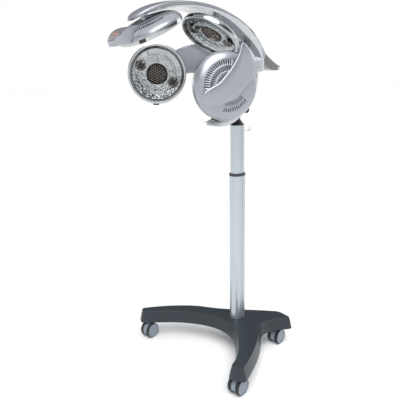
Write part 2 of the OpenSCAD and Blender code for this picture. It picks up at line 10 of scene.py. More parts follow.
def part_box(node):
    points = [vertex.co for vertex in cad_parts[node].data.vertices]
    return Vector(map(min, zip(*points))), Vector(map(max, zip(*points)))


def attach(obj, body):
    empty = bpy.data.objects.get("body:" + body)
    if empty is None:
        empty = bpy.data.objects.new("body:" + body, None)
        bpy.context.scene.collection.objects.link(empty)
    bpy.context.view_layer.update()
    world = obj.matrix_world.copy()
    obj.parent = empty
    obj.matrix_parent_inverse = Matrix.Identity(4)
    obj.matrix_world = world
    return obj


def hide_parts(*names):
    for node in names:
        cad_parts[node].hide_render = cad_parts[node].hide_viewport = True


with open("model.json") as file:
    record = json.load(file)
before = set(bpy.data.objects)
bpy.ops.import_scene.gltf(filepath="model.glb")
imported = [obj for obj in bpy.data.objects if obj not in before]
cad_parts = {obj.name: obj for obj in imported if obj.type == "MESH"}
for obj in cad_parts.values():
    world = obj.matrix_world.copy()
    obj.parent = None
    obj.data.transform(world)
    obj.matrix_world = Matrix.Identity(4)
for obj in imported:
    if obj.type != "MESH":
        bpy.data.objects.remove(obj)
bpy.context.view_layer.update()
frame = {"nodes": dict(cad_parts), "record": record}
MM = 0.001
BODIES = frame["record"]["behaviour"]["bodies"]
BODY_OF = {n: b for b, ns in BODIES.items() for n in ns}

# ---------------------------------------------------------------- materials


def material(name, color, metallic=0.0, roughness=0.4, coat=0.0, spread=0.06, grain=900.0, bump=0.02,
             tint=0.05, cells=0.0, stretch=(1.0, 1.0, 1.0), transmission=0.0):
    """A principled material whose colour, roughness and surface all vary with procedural noise."""
    m = bpy.data.materials.new(name)
    m.use_nodes = True
    nt = m.node_tree
    bsdf = nt.nodes["Principled BSDF"]
    bsdf.inputs["Metallic"].default_value = metallic
    bsdf.inputs["Coat Weight"].default_value = coat
    bsdf.inputs["Coat Roughness"].default_value = 0.08
    bsdf.inputs["Transmission Weight"].default_value = transmission
    coords = nt.nodes.new("ShaderNodeTexCoord")
    mapping = nt.nodes.new("ShaderNodeMapping")
    mapping.inputs["Scale"].default_value = stretch
    nt.links.new(coords.outputs["Object"], mapping.inputs["Vector"])
    soft = nt.nodes.new("ShaderNodeTexNoise")
    soft.inputs["Scale"].default_value = 14.0
    soft.inputs["Detail"].default_value = 5.0
    nt.links.new(mapping.outputs["Vector"], soft.inputs["Vector"])
    rough = nt.nodes.new("ShaderNodeMapRange")
    rough.inputs["To Min"].default_value = max(0.02, roughness - spread)
    rough.inputs["To Max"].default_value = roughness + spread
    nt.links.new(soft.outputs["Fac"], rough.inputs["Value"])
    nt.links.new(rough.outputs["Result"], bsdf.inputs["Roughness"])
    ramp = nt.nodes.new("ShaderNodeMix")
    ramp.data_type = "RGBA"
    ramp.inputs["A"].default_value = (*[c * (1 - tint) for c in color], 1)
    ramp.inputs["B"].default_value = (*[min(1, c * (1 + tint)) for c in color], 1)
    nt.links.new(soft.outputs["Fac"], ramp.inputs["Factor"])
    nt.links.new(ramp.outputs["Result"], bsdf.inputs["Base Color"])
    fine = nt.nodes.new("ShaderNodeTexVoronoi" if cells else "ShaderNodeTexNoise")
    fine.inputs["Scale"].default_value = cells or grain
    nt.links.new(mapping.outputs["Vector"], fine.inputs["Vector"])
    relief = nt.nodes.new("ShaderNodeBump")
    relief.inputs["Strength"].default_value = 0.5 if cells else 0.25
    relief.inputs["Distance"].default_value = bump * MM
    nt.links.new(fine.outputs["Distance" if cells else "Fac"], relief.inputs["Height"])
    nt.links.new(relief.outputs["Normal"], bsdf.inputs["Normal"])
    return m


MATS = {
    "silver_plastic": material("silver_plastic", (0.345, 0.36, 0.395), 0.50, 0.29, coat=0.35, spread=0.04),
    "light_plastic": material("light_plastic", (0.56, 0.58, 0.60), 0.5, 0.18, coat=0.4, spread=0.03),
    # painted shade: a dark plastic that stands in for the shade on the tail of the top wing and of its liner
    "painted_shade_plastic": material("painted_shade_plastic", (0.12, 0.12, 0.125), 0.4, 0.30, coat=0.3),
    "base_plastic": material("base_plastic", (0.017, 0.025, 0.032), 0.0, 0.36, spread=0.07, bump=0.05),
    "painted_steel": material("painted_steel", (0.30, 0.31, 0.33), 0.2, 0.45),
    "anodised_tube": material("anodised_tube", (0.50, 0.55, 0.58), 0.8, 0.32, stretch=(1, 1, 0.02),
                              grain=1400),
    "dark_plastic": material("dark_plastic", (0.035, 0.037, 0.042), 0.0, 0.4),
    "bright_steel": material("bright_steel", (0.78, 0.79, 0.81), 1.0, 0.15),
    "black_plastic": material("black_plastic", (0.012, 0.012, 0.014), 0.0, 0.32),
    "display_black": material("display_black", (0.02, 0.02, 0.024), 0.0, 0.08, coat=1.0, spread=0.02),
    "key_orange": material("key_orange", (0.50, 0.25, 0.19), 0.0, 0.35),
    "caster_grey": material("caster_grey", (0.20, 0.245, 0.29), 0.0, 0.36, coat=0.1),
    "tyre_rubber": material("tyre_rubber", (0.014, 0.015, 0.017), 0.0, 0.6, bump=0.06),
    "chrome_ring": material("chrome_ring", (0.50, 0.52, 0.53), 1.0, 0.10, spread=0.05, tint=0.35),
    "smoked_chrome": material("smoked_chrome", (0.16, 0.165, 0.17), 1.0, 0.12, spread=0.05, tint=0.3),
    "reflector_metal": material("reflector_metal", (0.42, 0.44, 0.445), 1.0, 0.12, spread=0.08, tint=0.45,
                                cells=95.0, bump=3.0),
    "black_mesh": material("black_mesh", (0.42, 0.38, 0.35), 0.6, 0.35),
    "fan_plastic": material("fan_plastic", (0.006, 0.006, 0.007), 0.0, 0.5),
    "motor_steel": material("motor_steel", (0.03, 0.03, 0.032), 0.3, 0.5),
    "lamp_quartz": material("lamp_quartz", (0.80, 0.86, 0.87), 0.0, 0.10, transmission=0.75, spread=0.04),
    "black_clip": material("black_clip", (0.012, 0.012, 0.013), 0.0, 0.3),
}
SLOT_OF = {p["node"]: p["material_slot"] for p in frame["record"]["subparts"]}

# ---------------------------------------------------------------- helpers


def finish_object(bm, name, node, mats, sharp=32.0):
    """Makes the object with its materials, hangs it on its body and hides the CAD node it stands for."""
    mesh = bpy.data.meshes.new(name)
    bmesh.ops.recalc_face_normals(bm, faces=bm.faces)
    bm.to_mesh(mesh)
    bm.free()
    for m in mats:
        mesh.materials.append(MATS[m])
    for p in mesh.polygons:
        p.use_smooth = True
    mesh.set_sharp_from_angle(angle=math.radians(sharp))
    ob = bpy.data.objects.new(name, mesh)
    bpy.context.scene.collection.objects.link(ob)
    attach(ob, BODY_OF[node])
    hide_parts(node)
    return ob


def bevel(ob, width, segments=3, angle=35.0):
    """Eases the edges that are sharper than angle; width is in millimetres."""
    mod = ob.modifiers.new("bevel", "BEVEL")
    mod.width = width * MM
    mod.segments = segments
    mod.limit_method = "ANGLE"
    mod.angle_limit = math.radians(angle)
    mod.harden_normals = True


def refined(node, width=0.0, segments=2, angle=35.0, paint=None, mats=None):
    """The CAD node's own shape with its triangles merged back into faces, smooth shading and eased edges."""
    bm = bmesh.new()
    bm.from_mesh(frame["nodes"][node].data)
    bmesh.ops.remove_doubles(bm, verts=bm.verts, dist=1e-5)
    bmesh.ops.dissolve_limit(bm, angle_limit=math.radians(0.3), verts=bm.verts, edges=bm.edges)
    for f in bm.faces:
        f.material_index = 0
        if paint:
            f.material_index = paint(f.calc_center_median(), f.normal)
    ob = finish_object(bm, node + "_look", node, mats or [SLOT_OF[node]])
    if width:
        bevel(ob, width, segments, angle)


def bez(a, b, c, d, t):
    """The point at t on a cubic Bezier curve."""
    a, b, c, d = (np.array(p, float) for p in (a, b, c, d))
    return (1 - t) ** 3 * a + 3 * (1 - t) ** 2 * t * b + 3 * (1 - t) * t * t * c + t ** 3 * d


def curve(segments, count):
    """Points evenly spaced along a chain of Bezier segments."""
    fine = np.array([bez(*s, t) for s in segments for t in np.linspace(0, 1, 60, endpoint=False)]
                    + [np.array(segments[-1][3], float)])
    run = np.concatenate([[0], np.cumsum(np.linalg.norm(np.diff(fine, axis=0), axis=1))])
    at = np.linspace(0, run[-1], count)
    return np.stack([np.interp(at, run, fine[:, k]) for k in range(fine.shape[1])], axis=1)


def arc(cx, cz, r, a0, a1, n=8):
    """Points on an arc from angle a0 to a1, in degrees."""
    return [(cx + r * math.cos(math.radians(a0 + (a1 - a0) * k / n)),
             cz + r * math.sin(math.radians(a0 + (a1 - a0) * k / n))) for k in range(n + 1)]


def grid_mesh(rows):
    """A closed bmesh through rows of points in millimetres, each row a loop."""
    bm = bmesh.new()
    vs = [[bm.verts.new(Vector(p) * MM) for p in row] for row in rows]
    n = len(rows[0])
    for a, b in zip(vs, vs[1:]):
        for i in range(n):
            j = (i + 1) % n
            bm.faces.new((a[i], a[j], b[j], b[i]))
    bm.faces.new(vs[0])
    bm.faces.new(list(reversed(vs[-1])))
    return bm


# ---------------------------------------------------------------- heads

HEAD_NAMES = ["front", "rear", "far", "near"]
# The middle of each head's front face, and its axis: degrees away from up, and azimuth
HEAD_AT = [(0, -461.2, 1483.5), (0, -164, 1471), (-218, -285, 1328), (218, -285, 1278)]
HEAD_DIR = [(27.5, -90), (36, 90), (90, 144.9), (90, -20)]
RING_R, RING_D, HEAD_H, HUB_R = 131.0, 16.0, 54.0, 40.0
# How far each head's hinge axis stands above its crown
PIVOT_UP = [10, 10, 11, 11]
LAMP_TURN = [28, -50, 118, 62]
LAMP_R = 79
SLOT_TURN = [-85, 90, 90, 90]
# Air slots: first and last angle and count of each sector, half a slot's angle, and the rows' radii
SLOT_SECTORS = [(84, 182, 18), (258, 322, 12)]
SLOT_HALF = 1.15
SLOT_ROWS = [(56, 73), (79, 96)]
DOME_R = RING_R - 2.8
DOME_WALL = 2.4
# Depth below the crown of the dome's hub, ring by ring
HUB_STEPS = [(40.2, 0.5), (39.2, 1.4), (37.5, 2.4), (33, 2.8), (31, 2.4), (29, 1.2), (22, 0.9), (12, 0.8)]
# The reflector dish: its rims' radii, the height of the outer one, and its depth
DISH_OUT, DISH_IN, DISH_Z, DISH_DEPTH = 111.6, 47.2, 9.2, 10


def head_matrix(i):
    """From head i's own frame, with its axis on z, to the machine's."""
    inc, az = (math.radians(v) for v in HEAD_DIR[i])
    return (Matrix.Translation(Vector(HEAD_AT[i]) * MM) @ Matrix.Rotation(az, 4, "Z")
            @ Matrix.Rotation(inc, 4, "Y"))


def placed(bm, i):
    bmesh.ops.transform(bm, matrix=head_matrix(i), verts=bm.verts)
    return bm


def dome_z(r):
    """The dome's height over the front face at radius r, on an elliptic section."""
    rise = (HEAD_H - RING_D) / math.sin(math.acos(HUB_R / DOME_R))
    return RING_D + rise * math.sin(math.acos(min(1, r / DOME_R)))


def dome(i):
    """The domed back shell with its air slots cut through, dark on the inside."""
    slots = sorted((a0 + (a1 - a0) * k / (n - 1) + SLOT_TURN[i]) % 360
                   for a0, a1, n in SLOT_SECTORS for k in range(n))
    edges = sorted([s - SLOT_HALF for s in slots] + [s + SLOT_HALF for s in slots])
    full = []
    for a, b in zip(edges, edges[1:] + [edges[0] + 360]):
        steps = max(1, math.ceil((b - a) / 4.0))
        full += [a + (b - a) * k / steps for k in range(steps)]
    radii = [128.2, 127.6, 126, 123.5, 120, 116, 111, 106, 101, 96, 90, 84.5, 79, 73, 67, 61.5, 56, 50, 45,
             41.5]
    rows = [(DOME_R, 7.0), (DOME_R, 12.0)] + [(min(r, DOME_R), dome_z(r)) for r in radii]
    rows += [(r, HEAD_H - drop) for r, drop in HUB_STEPS]
    bm = bmesh.new()
    ring = [[bm.verts.new(Vector((r * math.cos(math.radians(a)), r * math.sin(math.radians(a)), z)) * MM)
             for a in full] for r, z in rows]
    centre = bm.verts.new(Vector((0, 0, HEAD_H - HUB_STEPS[-1][1])) * MM)
    count = len(full)
    for k in range(len(rows) - 1):
        r_mid = (rows[k][0] + rows[k + 1][0]) / 2
        slotted = any(r0 < r_mid < r1 for r0, r1 in SLOT_ROWS)
        for j in range(count):
            n = (j + 1) % count
            mid = (full[j] + (full[n] if n else full[0] + 360)) / 2
            if slotted and any(abs((mid - s + 180) % 360 - 180) < 0.8 * SLOT_HALF for s in slots):
                continue
            bm.faces.new((ring[k][j], ring[k][n], ring[k + 1][n], ring[k + 1][j]))
    for j in range(count):
        bm.faces.new((ring[-1][j], ring[-1][(j + 1) % count], centre))
    ob = finish_object(placed(bm, i), HEAD_NAMES[i] + "_dome", HEAD_NAMES[i] + "_head_back_shell",
                       ["silver_plastic", "black_plastic"], sharp=40)
    mod = ob.modifiers.new("wall", "SOLIDIFY")
    mod.thickness = DOME_WALL * MM
    mod.offset = -1
    mod.material_offset = 1
    mod.material_offset_rim = 0


def neck(i):
    """The hinge barrel on the dome's crown and the neck that carries it."""
    on_top_wing = i < 2
    half = 12.5 if on_top_wing else 11.5
    pivot = HEAD_H + PIVOT_UP[i]
    outline = arc(0, pivot, 8, -15, 195, 24)
    outline += [(-8.5, pivot - 6), (-11, HEAD_H - 2.6), (11, HEAD_H - 2.6), (8.5, pivot - 6)]
    rows = [[(x, y, z) if on_top_wing else (-y, x, z) for x, z in outline] for y in (-half, half)]
    ob = finish_object(placed(grid_mesh(rows), i), HEAD_NAMES[i] + "_neck",
                       HEAD_NAMES[i] + "_head_back_shell", ["silver_plastic"])
    bevel(ob, 0.8, 2)


def revolve(profile, name, node, mats, i, steps=144, sharp=30.0, face_mat=None):
    """A closed [radius, height] profile turned round head i's axis."""
    bm = bmesh.new()
    turns = [2 * math.pi * k / steps for k in range(steps)]
    rings = [[bm.verts.new(Vector((r * math.cos(a), r * math.sin(a), z)) * MM) for a in turns]
             for r, z in profile]
    n = len(profile)
    for a in range(n):
        b = (a + 1) % n
        for k in range(steps):
            m = (k + 1) % steps
            f = bm.faces.new((rings[a][k], rings[a][m], rings[b][m], rings[b][k]))
            f.material_index = face_mat(a) if face_mat else 0
    finish_object(placed(bm, i), name, node, mats, sharp=sharp)


def ring(i):
    """The bright ring, with a bezel in smoked chrome inside its lip."""
    outer = arc(126.5, 4.5, 4.5, 0, -90) + [(122.5, 0.5)] + arc(122.2, 2.2, 1.7, -90, -170, 5)
    back = [(RING_R, 15.2), (130.6, RING_D), (128.8, RING_D), (128.6, 15.6), (128.6, 5.8), (126.4, 3.0)]
    bezel = [(122.6, 3.4), (121, 5.4), (114.8, 5.4), (114, 9), (112.1, 9), (112.3, 4.4), (113, 3.3),
             (120.4, 3.3)]
    profile = back + bezel + list(reversed(outer)) + [(RING_R, 5.2)]
    revolve(profile, HEAD_NAMES[i] + "_bright_ring", HEAD_NAMES[i] + "_head_ring",
            ["chrome_ring", "smoked_chrome"], i,
            face_mat=lambda k: 1 if len(back) <= k < len(back) + len(bezel) else 0)


def reflector(i):
    """The bright dish behind the lamps, with radial flutes."""
    steps = 192
    bm = bmesh.new()
    radii = np.linspace(DISH_OUT, DISH_IN, 22)
    flutes, flute_deep = 16, 0.5
    rings = []
    for r in radii:
        t = (DISH_OUT - r) / (DISH_OUT - DISH_IN)
        z = DISH_Z + DISH_DEPTH * math.sin(math.radians(90 * t))
        row = []
        for k in range(steps):
            a = 2 * math.pi * k / steps
            flute = flute_deep * math.sin(flutes * a) * math.sin(math.pi * t)
            row.append(bm.verts.new(Vector((r * math.cos(a), r * math.sin(a), z + flute)) * MM))
        rings.append(row)
    for a in range(len(rings) - 1):
        r = (radii[a] + radii[a + 1]) / 2
        for k in range(steps):
            ang = (k + 0.5) * 360 / steps
            off = [abs((ang - s + 180) % 360 - 180) for s in (LAMP_TURN[i], LAMP_TURN[i] + 180)]
            if abs(r - LAMP_R) < 12 and min(off) < math.degrees(14 / r):  # the opening for a lamp socket
                continue
            m = (k + 1) % steps
            bm.faces.new((rings[a][k], rings[a][m], rings[a + 1][m], rings[a + 1][k]))
    ob = finish_object(placed(bm, i), HEAD_NAMES[i] + "_dish", HEAD_NAMES[i] + "_head_reflector",
                       ["reflector_metal"], sharp=60)
    mod = ob.modifiers.new("sheet", "SOLIDIFY")
    mod.thickness = 0.8 * MM
    mod.offset = 0


def socket_face(c, i):
    """1 on the lamp sockets, 0 on the tubes, for a face centre in the head's own frame."""
    turn = math.degrees(math.atan2(c.y, c.x)) - LAMP_TURN[i]
    return 1 if c.z > 0.0121 or abs((turn + 90) % 180 - 90) < 9.6 else 0


def wire(ob, thickness):
    """Turns a sheet's edges into wire."""
    mod = ob.modifiers.new("wire", "WIREFRAME")
    mod.thickness = thickness * MM


def turned(bm, degrees, verts):
    """Turns verts about the z axis."""
    bmesh.ops.rotate(bm, cent=(0, 0, 0), matrix=Matrix.Rotation(math.radians(degrees), 3, "Z"), verts=verts)


def wire_guard(i):
    """The honeycomb of wire in front of a fan, in its rim."""
    bm = bmesh.new()
    pitch = 11.0
    corner_r = pitch / math.sqrt(3)
    z = 19.6
    known = {}
    for w in range(-4, 5):
        for q in range(-6, 7):
            x, y = pitch * (q + w / 2), pitch * w * math.sqrt(3) / 2
            if math.hypot(x, y) > 41.5:
                continue
            cell = []
            for k in range(6):
                a = math.radians(30 + 60 * k)
                at = (round(x + corner_r * math.cos(a), 3), round(y + corner_r * math.sin(a), 3))
                if at not in known:
                    known[at] = bm.verts.new(Vector((at[0], at[1], z)) * MM)
                cell.append(known[at])
            bm.faces.new(cell)
    node = HEAD_NAMES[i] + "_head_fan_grille"
    ob = finish_object(placed(bm, i), HEAD_NAMES[i] + "_wire_guard", node, ["black_mesh"])
    wire(ob, 1.5)
    rim = [(46.0, z - 1), (46.0, z + 1), (44.4, z + 1), (43.8, z), (44.4, z - 1)]
    revolve(rim, HEAD_NAMES[i] + "_guard_rim", node, ["black_clip"], i, steps=72)


def socket_guards(i):
    """A guard over each lamp socket: a barrel-shaped grid of wire."""
    bm = bmesh.new()
    cells, half_long, half_wide = 5, 22, 24
    for side in (0, 180):
        rows = []
        for r in np.linspace(LAMP_R - half_long, LAMP_R + half_long, cells + 1):
            half = half_wide * (1 - 0.25 * ((r - LAMP_R) / half_long) ** 2)
            rows.append([bm.verts.new(Vector((r, half * u, 4.6)) * MM)
                         for u in np.linspace(-1, 1, cells + 1)])
        for a, b in zip(rows, rows[1:]):
            for k in range(cells):
                bm.faces.new((a[k], a[k + 1], b[k + 1], b[k]))
        turned(bm, side, [v for row in rows for v in row])
    turned(bm, LAMP_TURN[i], bm.verts)
    ob = finish_object(placed(bm, i), HEAD_NAMES[i] + "_socket_guards", HEAD_NAMES[i] + "_head_lamps",
                       ["black_mesh"])
    wire(ob, 1.7)


def socket_trays(i):
    """The dark well under each socket guard."""
    for k, side in enumerate((0, 180)):
        rows = []
        for z, grow in ((5.6, 0.0), (7.6, -1.2), (8.8, -1.2)):
            rows.append([((LAMP_R + (21 + grow) * math.cos(a)), (22.5 + grow) * math.sin(a), z)
                         for a in np.linspace(0, 2 * math.pi, 28, endpoint=False)])
        bm = grid_mesh(rows)
        turned(bm, LAMP_TURN[i] + side, bm.verts)
        finish_object(placed(bm, i), f"{HEAD_NAMES[i]}_socket_tray_{k}", HEAD_NAMES[i] + "_head_lamps",
                      ["fan_plastic"])


for i in range(4):
    h = HEAD_NAMES[i]
    dome(i)
    socket_guards(i)
    socket_trays(i)
    neck(i)
    ring(i)
    reflector(i)
    wire_guard(i)
    refined(h + "_head_fan", 0.3, 1)
    refined(h + "_head_motor", 0.4, 1)
    local = head_matrix(i).inverted()
    refined(h + "_head_lamps", 0.6, 1, mats=["lamp_quartz", "black_plastic"],
            paint=lambda c, n, local=local, i=i: socket_face(local @ c, i))
    refined(h + "_head_ring_fixings", 0.5, 2)

# ---------------------------------------------------------------- top wing

OUT_SEGS = [((-556, 1526), (-505, 1585), (-400, 1605), (-300, 1605)),
            ((-300, 1605), (-150, 1605), (30, 1555), (139, 1423)),
            ((139, 1423), (155, 1405), (220, 1385), (290, 1352))]
SHUT_SEGS = [((-556, 1523), (-505, 1556.5), (-400, 1584.5), (-300, 1586.5)),
             ((-300, 1586.5), (-180, 1586.5), (-60, 1560.5), (40, 1502.5)),
             ((40, 1502.5), (70, 1480), (100, 1440), (122, 1385)),
             ((122, 1385), (160, 1362), (220, 1346), (288, 1349))]


def wing_half(y):
    """The top wing's half width at y."""
    pts = np.concatenate([
        [bez((0, -556), (40, -556), (58, -510), (62, -430), t) for t in np.linspace(0, 1, 20)],
        [bez((62, -430), (66, -250), (64, -60), (48, 100), t) for t in np.linspace(0, 1, 20)],
        [bez((48, 100), (40, 160), (14, 250), (0, 291), t) for t in np.linspace(0, 1, 20)]])
    return float(np.interp(y, pts[:, 1], pts[:, 0]))


def top_wing():
    """The top wing from its front tip to its tail, with painted shade on the cheeks of the tail."""
    # a station's upper and lower point have run the same share of their stretch
    stretches = [(OUT_SEGS[:1], SHUT_SEGS[:1], 34), (OUT_SEGS[1:2], SHUT_SEGS[1:3], 60),
                 (OUT_SEGS[2:], SHUT_SEGS[3:], 26)]
    pairs = []
    for o, l, c in stretches:
        po, pl = curve(o, c), curve(l, c)
        pairs += list(zip(po, pl))[(1 if pairs else 0):]
    rows = []
    for po, pl in pairs:
        w = max(1.2, wing_half((po[0] + pl[0]) / 2))
        gap = np.linalg.norm(po - pl)
        r = min(9.0, 0.45 * w, 0.7 * gap)
        up = (po - pl) / max(gap, 1e-6)
        crown = min(5.0, 0.25 * gap)
        row = []
        sec = [(w - 1.5, 0.0), (w, min(1.5, gap * 0.2))]
        for k in range(7):
            a = math.radians(90 * k / 6)
            sec.append((w - r + r * math.cos(a), gap - crown - r + r * math.sin(a)))
        for k in range(1, 8):
            x = (w - r) * (1 - k / 7)
            sec.append((x, gap - crown * (x / max(w - r, 1e-6)) ** 2))
        full = sec + [(-x, h) for x, h in reversed(sec[:-1])]
        for x, h in full:
            q = pl + up * max(h, 0)
            row.append((x, q[0], q[1]))
        rows.append(row)
    bm = grid_mesh(rows)
    bm.normal_update()
    # painted shade: the tail's side faces take the dark plastic
    for f in bm.faces:
        if f.calc_center_median().y > 0.135 and abs(f.normal.x) > 0.55:
            f.material_index = 1
    finish_object(bm, "top_wing_shell", "top_wing", ["silver_plastic", "painted_shade_plastic"], sharp=38)


top_wing()

# ---------------------------------------------------------------- spine

SPINE_OUT = [((9, 1462), (60, 1432), (98, 1385), (98, 1320)),
             ((98, 1320), (98, 1235), (40, 1165), (-27, 1126)),
             ((-27, 1126), (-70, 1097), (-125, 1089), (-172, 1106))]
SPINE_IN = [((-16, 1444), (30, 1420), (60, 1380), (60, 1320)),
            ((60, 1320), (60, 1250), (30, 1208), (-16, 1172)),
            ((-16, 1172), (-65, 1134), (-120, 1117), (-171, 1117))]
SPINE_HALF = 45.0
SEAM_FOOT, SEAM_LONG = 1250, 190
# Where the side wings' hinge pins stand, the height of a barrel's foot, and a barrel's length and radius
HINGE_X, HINGE_Y, HINGE_Z, HINGE_H, BARREL_R = 54.5, 52, 1322, 66, 8.5


def block(lo, hi):
    """A box between two corners."""
    bm = bmesh.new()
    bmesh.ops.create_cube(bm, size=1.0)
    for v in bm.verts:
        v.co = Vector([(lo[k] + (hi[k] - lo[k]) * (v.co[k] + 0.5)) * MM for k in range(3)])
    return bm


def cut_away(ob, lo, hi):
    """Takes a box out of ob, and keeps no trace of the cutter."""
    mesh = bpy.data.meshes.new("cutter")
    bm = block(lo, hi)
    bm.to_mesh(mesh)
    bm.free()
    cutter = bpy.data.objects.new("cutter", mesh)
    bpy.context.scene.collection.objects.link(cutter)
    mod = ob.modifiers.new("cut", "BOOLEAN")
    mod.object = cutter
    mod.operation = "DIFFERENCE"
    mod.solver = "EXACT"
    bpy.context.view_layer.update()
    done = bpy.data.meshes.new_from_object(ob.evaluated_get(bpy.context.evaluated_depsgraph_get()))
    ob.modifiers.remove(mod)
    ob.data = done
    bpy.data.objects.remove(cutter)
    for p in ob.data.polygons:
        p.use_smooth = True
    ob.data.set_sharp_from_angle(angle=math.radians(38))


def spine():
    """The rear body: a rounded spine with a seam and a light inlay, its trim, hinge lugs and saddle."""
    counts = (30, 36, 34)
    rows = []
    for s in range(3):
        po, pi = curve(SPINE_OUT[s:s + 1], counts[s]), curve(SPINE_IN[s:s + 1], counts[s])
        for k, (o, q) in enumerate(zip(po, pi)):
            if rows and k == 0:
                continue
            t = k / (counts[s] - 1)
            w = SPINE_HALF
            if s == 2:
                w = SPINE_HALF - 9 * t ** 2
                left = (1 - t) * 150
                if left < 30:
                    w = w - 26 + 26 * math.sqrt(max(0.0, 1 - (1 - left / 30) ** 2))
            if s == 0:
                w = SPINE_HALF - 7 * (1 - t) ** 2
            gap = float(np.linalg.norm(o - q))
            up = (o - q) / gap
            r = min(11.0, 0.48 * gap)
            crown = min(3.0, 0.12 * gap)
            sec = []
            for a in np.linspace(-90, 0, 6):
                sec.append((w - r * 0.6 + r * 0.6 * math.cos(math.radians(a)),
                            r * 0.6 + r * 0.6 * math.sin(math.radians(a))))
            seam = math.sin(math.pi * min(1.0, max(0.0, (q[1] - SEAM_FOOT) / SEAM_LONG)))
            sec.append((w, 0.6 * r + max(0.02, 0.68 * seam) * (gap - crown - 1.6 * r)))
            for a in np.linspace(0, 90, 7):
                sec.append((w - r + r * math.cos(math.radians(a)),
                            gap - crown - r + r * math.sin(math.radians(a))))
            for x in np.linspace(w - r, 0, 7)[1:]:
                sec.append((float(x), gap - crown * (x / (w - r)) ** 2))
            full = sec + [(-x, h) for x, h in reversed(sec[:-1])]
            rows.append([(x, *(q + up * h)) for x, h in full])
    bm = grid_mesh(rows)
    bm.faces.ensure_lookup_table()
    count = len(rows[0])
    for k in range((len(rows) - 1) * count):
        f = bm.faces[k]
        mid = f.calc_center_median()
        f.material_index = 1 if abs(mid.x) > 0.0375 else 0
        in_seam = SEAM_FOOT + 12 < mid.z / MM < SEAM_FOOT + SEAM_LONG - 12
        if k % count in (5, count - 7) and in_seam:
            f.material_index = 2
    ob = finish_object(bm, "spine_shell", "rear_body", ["silver_plastic", "light_plastic", "black_plastic"],
                       sharp=38)
    # the slot for the lug of the tilt socket
    cut_away(ob, (-8.5, -46, 1085), (8.5, 46, 1182))
    # bright trim along the client's edge of the spine, a blade that thins to a point at its top
    path = curve([((60, 1292), (58, 1240), (30, 1208), (-16, 1172)),
                  ((-16, 1172), (-65, 1134), (-120, 1117), (-166, 1116.5))], 60)
    last = len(path) - 1
    for s in (-1, 1):
        rows = []
        for k in range(last + 1):
            ahead = path[min(k + 1, last)] - path[max(k - 1, 0)]
            ahead = ahead / np.linalg.norm(ahead)
            out = np.array([ahead[1], -ahead[0]])
            swell = math.sin(math.pi / 2 * min(1.0, k / 14)) * min(1.0, (last + 1 - k) / 8)
            deep, half = 0.6 + 6.4 * swell, 0.5 + 1.1 * swell
            ring_pts = []
            for a in np.linspace(0, 2 * math.pi, 12, endpoint=False):
                q = path[k] + out * (deep * (0.5 + 0.5 * math.cos(a)) - 1.5)
                ring_pts.append((s * (43.2 + half * math.sin(a)), q[0], q[1]))
            rows.append(ring_pts)
        finish_object(grid_mesh(rows), "spine_trim_" + ("r" if s > 0 else "l"), "rear_body",
                      ["chrome_ring"], sharp=60)
    # hinge lugs and the saddle under the top wing
    for s in (-1, 1):
        for z0 in (HINGE_Z - 9.5, HINGE_Z + HINGE_H + 0.5):
            outline = arc(HINGE_X, HINGE_Y, BARREL_R, -90, 90, 12)
            outline += [(43, 62), (43, 43.5)]
            rows = [[(s * x, y, z) for x, y in outline] for z in (z0, z0 + 9)]
            lug = finish_object(grid_mesh(rows), f"hinge_lug_{'r' if s > 0 else 'l'}_{int(z0)}", "rear_body",
                                ["silver_plastic"])
            bevel(lug, 0.8, 2)
    saddle = [(43, 1434), (71, 1402), (85, 1378), (108, 1388), (104, 1402), (90, 1424), (66, 1446)]
    rows = [[(x, y, z) for y, z in saddle] for x in (-24, 24)]
    bevel(finish_object(grid_mesh(rows), "wing_saddle", "rear_body", ["silver_plastic"]), 1.5, 3)


spine()

# ---------------------------------------------------------------- side wings


def span(outline, x):
    """The lowest and highest point of a closed [x, z] outline on the line at x, or None outside it."""
    hits = []
    for (x0, z0), (x1, z1) in zip(outline, outline[1:] + outline[:1]):
        if (x0 - x) * (x1 - x) <= 0 and x0 != x1:
            hits.append(z0 + (z1 - z0) * (x - x0) / (x1 - x0))
    return (min(hits), max(hits)) if len(hits) > 1 else None


def sweep(pieces):
    """A closed outline from Bezier segments of four points and single points."""
    out = []
    for q in pieces:
        if len(q) == 4:
            out += [tuple(bez(*q, t)) for t in np.linspace(0, 1, 24, endpoint=False)]
        else:
            out.append(tuple(q))
    return out


def wing_skin(name, node, path, along, outline, crown):
    """A side wing: flat inside, crowned outside, with a full round edge, along a plan path."""
    fine = curve([path], 800)
    end = len(fine) - 1
    spans = [span(outline, along(p)) for p in fine]
    last = max(k for k, v in enumerate(spans) if v)
    dense = 70  # the stations draw closer together over this much of the end
    near_end = last - np.unique((dense * (1 - np.sin(np.linspace(0, math.pi / 2, 18)))).astype(int))[::-1]
    picks = list(range(0, last - dense - 1, 9)) + list(near_end)
    rows = []
    for k in picks:
        if not spans[k]:
            continue
        lo, hi = spans[k]
        ahead = fine[min(k + 1, end)] - fine[max(k - 1, 0)]
        ahead = ahead / np.linalg.norm(ahead)
        out = np.array([-ahead[1], ahead[0]])
        high = hi - lo
        half = 3.0 * math.sqrt(min(1.0, max(high, 0.5) / 30))
        bulge = crown * min(1.0, high / 110)
        row = []
        for inner in (False, True):
            for a in np.linspace(-math.pi / 2, math.pi / 2, 17)[:-1]:
                v = math.sin(a)
                d = half * math.sqrt(max(0.0, 1 - v ** 6)) + (0 if inner else bulge * (1 - v * v))
                side = -d if inner else d
                z = (lo + hi) / 2 + (-v if inner else v) * high / 2
                row.append((fine[k][0] + out[0] * side, fine[k][1] + out[1] * side, z))
        rows.append(row)
    finish_object(grid_mesh(rows), name, node, ["silver_plastic"], sharp=55)


def plate(outline, z0, z1, name, node, paint="silver_plastic", ease=0.8):
    """A level plate between two heights with eased edges."""
    ob = finish_object(grid_mesh([[(x, y, z) for x, y in outline] for z in (z0, z1)]), name, node, [paint])
    bevel(ob, ease, 2)


